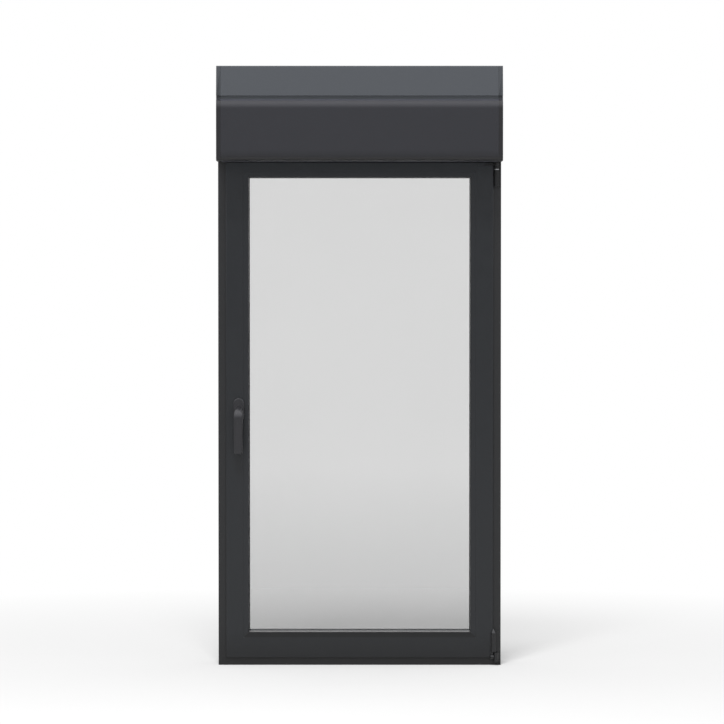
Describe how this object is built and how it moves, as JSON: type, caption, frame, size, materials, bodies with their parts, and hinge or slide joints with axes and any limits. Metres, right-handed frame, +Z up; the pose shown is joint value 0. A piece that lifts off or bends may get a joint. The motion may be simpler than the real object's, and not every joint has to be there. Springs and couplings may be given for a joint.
{
  "type": "tilt and turn window",
  "caption": "Single-sash tilt and turn window in a slim dark metal frame, with its lever handle, concealed drive, hinges and a roller shutter box on the head.",
  "frame": {"origin": "centre of the outer frame's underside, at half its width and half its depth", "axes": "+Z up the frame, -Y towards the room, +X towards the hinge side as seen from the room"},
  "size_m": [0.8, 0.236, 1.69],
  "materials": {
    "frame_paint": "satin",
    "sash_paint": "satin",
    "outer_paint": "satin",
    "insulating_plastic": "matte",
    "bare_aluminium": "mill",
    "seal_rubber": "matte",
    "zinc_steel": "satin",
    "gear_metal": "satin",
    "pane_glass": "clear",
    "block_plastic": "matte",
    "handle_paint": "satin",
    "hinge_paint": "satin",
    "box_paint": "satin",
    "upper_box_paint": "satin",
    "motor_black": "satin",
    "slat_plastic": "matte"
  },
  "bodies": {
    "frame": {"frame_left": "frame_paint", "frame_right": "frame_paint", "frame_head": "frame_paint", "frame_sill": "frame_paint", "frame_outer_shells": "outer_paint", "frame_insulating_bars": "insulating_plastic", "frame_corner_cleats": "bare_aluminium", "centre_gasket": "seal_rubber", "strikers": "zinc_steel", "fixing_sleeves": "zinc_steel", "drain_caps": "outer_paint", "upper_bearing": "hinge_paint", "upper_pin": "zinc_steel", "lower_bearing": "hinge_paint", "end_cap_left": "box_paint", "end_cap_right": "box_paint", "upper_cover": "upper_box_paint", "inspection_cover": "box_paint", "box_base": "outer_paint", "box_back": "outer_paint", "shaft_bearings": "zinc_steel", "motor": "motor_black", "guide_rail_left": "outer_paint", "guide_rail_right": "outer_paint"},
    "leaf_carrier": {"swivel_knuckle": "hinge_paint"},
    "handle": {"lever": "handle_paint", "spindle_bar": "zinc_steel", "drive_gear": "gear_metal"},
    "side_drive": {"side_rod": "zinc_steel", "side_cams": "zinc_steel"},
    "top_drive": {"top_rod": "zinc_steel"},
    "stay": {"stay_arm": "hinge_paint"},
    "stay_shoe": {"stay_slider": "zinc_steel"},
    "shutter_roll": {"winding_tube": "bare_aluminium", "curtain_roll": "slat_plastic"},
    "curtain_foot": {"bottom_bar": "slat_plastic"},
    "sash": {"sash_left": "sash_paint", "sash_right": "sash_paint", "sash_top": "sash_paint", "sash_bottom": "sash_paint", "sash_outer_shells": "outer_paint", "sash_insulating_bars": "insulating_plastic", "sash_corner_cleats": "bare_aluminium", "bead_left": "sash_paint", "bead_right": "sash_paint", "bead_top": "sash_paint", "bead_bottom": "sash_paint", "overlap_gasket": "seal_rubber", "inner_gasket": "seal_rubber", "outer_gasket": "seal_rubber", "inner_pane": "pane_glass", "outer_pane": "pane_glass", "spacer_bar": "bare_aluminium", "edge_seal": "seal_rubber", "setting_blocks": "block_plastic", "rosette": "handle_paint", "rosette_screws": "handle_paint", "gear_case": "zinc_steel", "corner_drive": "zinc_steel", "hinge_band": "hinge_paint"}
  },
  "joints": [
    {"name": "sash_turn", "type": "hinge", "parent": "frame", "child": "leaf_carrier", "pos_m": [0.3865, -0.048, 0.024], "axis": [0, 0, 1], "range_deg": [0, 90]},
    {"name": "sash_tilt", "type": "hinge", "parent": "leaf_carrier", "child": "sash", "pos_m": [0.372, -0.048, 0.024], "axis": [1, 0, 0], "range_deg": [0, 6]},
    {"name": "handle_turn", "type": "hinge", "parent": "sash", "child": "handle", "pos_m": [-0.34153, -0.048, 0.725], "axis": [0, -1, 0], "range_deg": [0, 180]},
    {"name": "side_rod_slide", "type": "slide", "parent": "sash", "child": "side_drive", "axis": [0, 0, -1], "range_m": [0, 0.036]},
    {"name": "top_rod_slide", "type": "slide", "parent": "sash", "child": "top_drive", "axis": [-1, 0, 0], "range_m": [0, 0.036]},
    {"name": "stay_swing", "type": "hinge", "parent": "leaf_carrier", "child": "stay", "pos_m": [0.3865, -0.048, 1.417], "axis": [0, 0, 1], "range_deg": [0, 22.5]},
    {"name": "stay_slide", "type": "slide", "parent": "sash", "child": "stay_shoe", "axis": [1, 0, 0], "range_m": [0, 0.02]},
    {"name": "shutter_shaft", "type": "hinge", "parent": "frame", "child": "shutter_roll", "pos_m": [0, -0.047, 1.571], "axis": [-1, 0, 0], "range_deg": [0, 1260]},
    {"name": "bottom_bar_drop", "type": "slide", "parent": "frame", "child": "curtain_foot", "axis": [0, 0, -1], "range_m": [0, 1.37]}
  ],
  "couplings": [
    {"joint": "side_rod_slide", "follows": "handle_turn", "m_per_rad": 0.011459},
    {"joint": "top_rod_slide", "follows": "handle_turn", "m_per_rad": 0.011459},
    {"joint": "stay_swing", "follows": "sash_tilt", "ratio": 3.72},
    {"joint": "stay_slide", "follows": "sash_tilt", "m_per_rad": 0.18},
    {"joint": "bottom_bar_drop", "follows": "shutter_shaft", "m_per_rad": 0.0622}
  ]
}
